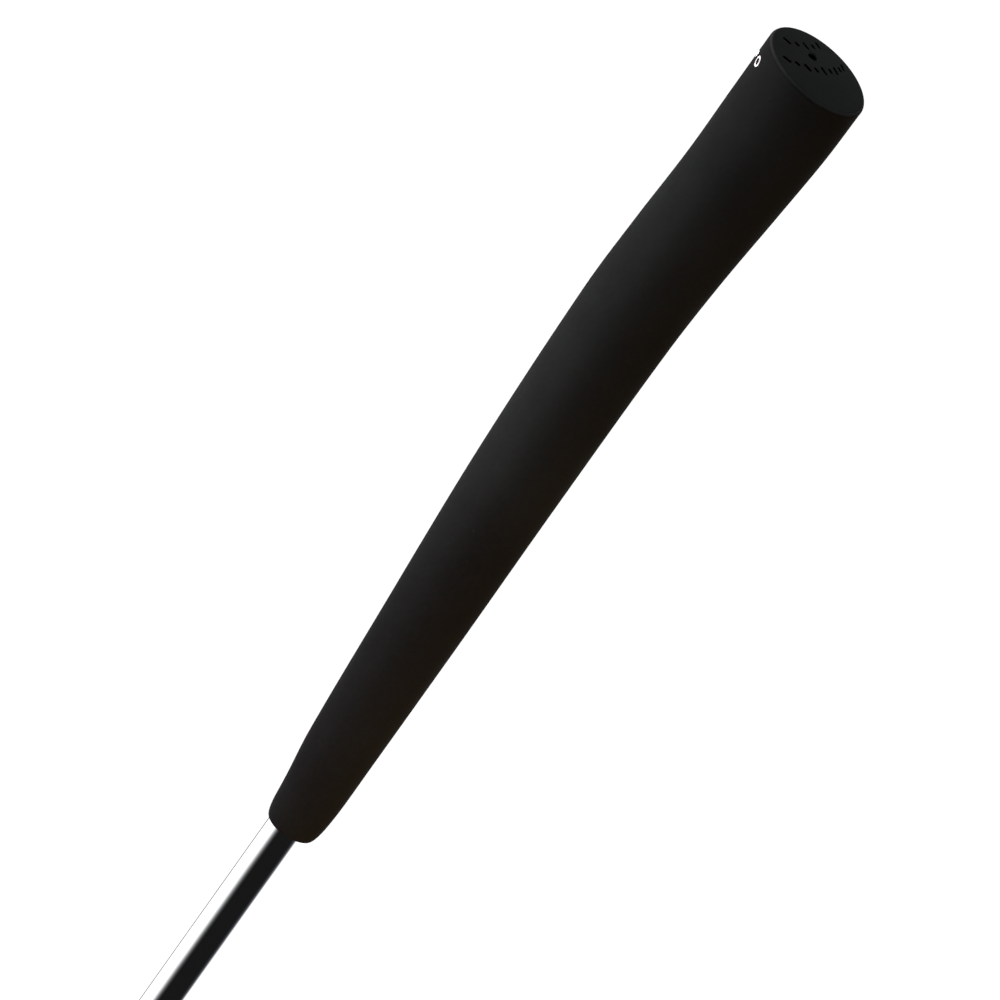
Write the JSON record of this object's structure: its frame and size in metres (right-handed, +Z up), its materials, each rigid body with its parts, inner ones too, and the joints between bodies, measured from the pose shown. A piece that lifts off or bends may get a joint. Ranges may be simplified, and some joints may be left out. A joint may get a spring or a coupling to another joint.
{
  "type": "swing trainer stick",
  "caption": "Weighted golf swing trainer stick: pistol-shaped rubber grip on a chromed tube, with a weighted head and a screwed end cap that holds loose slugs.",
  "frame": {"origin": "centre of the bumper's flat foot, on the tube's axis", "axes": "+Z up the tube towards the butt of the grip; the grip's flat front faces -Y, and YZ is the grip's plane of symmetry"},
  "size_m": [0.0286, 0.0339, 0.6103],
  "materials": {
    "grip_rubber": "matt soft-touch moulded rubber",
    "tape": "creped paper tape",
    "chrome": "bright chrome plate",
    "plug_plastic": "moulded nylon",
    "ferrule_plastic": "polished black",
    "trim_metal": "polished",
    "barrel_steel": "turned and satin nickel plated",
    "sleeve_rubber": "ribbed matt rubber",
    "pin_steel": "oiled spring steel",
    "washer_brass": "plain",
    "spring_steel": "drawn wire",
    "slug_brass": "turned",
    "seal_rubber": "smooth",
    "cap_metal": "turned and satin nickel plated",
    "bumper_rubber": "matt rubber"
  },
  "bodies": {
    "stick": {"grip": "grip_rubber", "grip_tape": "tape", "tube": "chrome", "butt_plug": "plug_plastic", "ferrule": "ferrule_plastic", "trim_ring": "trim_metal", "head_barrel": "barrel_steel", "barrel_sleeve": "sleeve_rubber", "cross_pin": "pin_steel", "spring_washer": "washer_brass", "slug_spring": "spring_steel"},
    "slug_stack": {"slug_upper": "slug_brass", "slug_middle": "slug_brass", "slug_lower": "slug_brass", "cap_seal": "seal_rubber"},
    "screw_cap": {"end_cap": "cap_metal", "bumper": "bumper_rubber"}
  },
  "joints": [
    {"name": "cap_travel", "type": "slide", "parent": "stick", "child": "slug_stack", "axis": [0, 0, -1], "range_m": [0, 0.008], "deforming": ["slug_spring"]},
    {"name": "cap_turn", "type": "hinge", "parent": "slug_stack", "child": "screw_cap", "pos_m": [0, 0, 0.017], "axis": [0, 0, -1], "range_deg": [0, 720]}
  ],
  "couplings": [
    {"joint": "cap_turn", "follows": "cap_travel", "rad_per_m": 1570.8}
  ]
}
